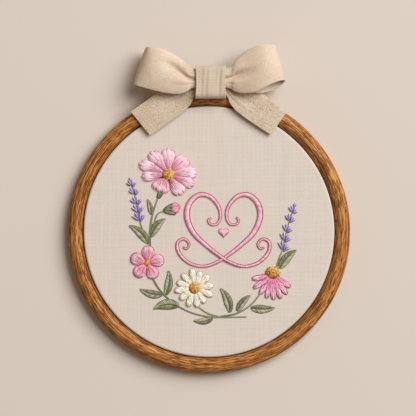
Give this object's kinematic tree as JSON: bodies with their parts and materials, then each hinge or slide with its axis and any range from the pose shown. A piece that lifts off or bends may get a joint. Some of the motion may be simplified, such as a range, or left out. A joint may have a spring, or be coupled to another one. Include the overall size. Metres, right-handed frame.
{
  "type": "floral hoop embroidery art in a wooden embroidery hoop",
  "caption": "Linen stretched in a round wooden embroidery hoop, stitched with flowers, leaves and a pink flourish, with a ribbon bow at the hoop's top.",
  "frame": {"origin": "centre of the bounding box's base, on the surface the hoop lies on", "axes": "+Z out of the embroidery's face, +Y from the hoop's foot towards the bow at its top, +X to the right as seen from the front"},
  "size_m": [0.203, 0.2354, 0.0248],
  "materials": {
    "oak": "turned oak, oiled to a warm brown, satin",
    "beech": "plain beech, sanded, unfinished",
    "linen": "natural plain-weave linen, matt, with stranded cotton embroidery",
    "ribbon": "beige felted linen ribbon, matt"
  },
  "bodies": {
    "root": {"outer_ring": "oak", "inner_ring": "beech", "linen": "linen", "bow_loops": "ribbon", "bow_tails": "ribbon", "bow_knot": "ribbon"}
  },
  "joints": []
}
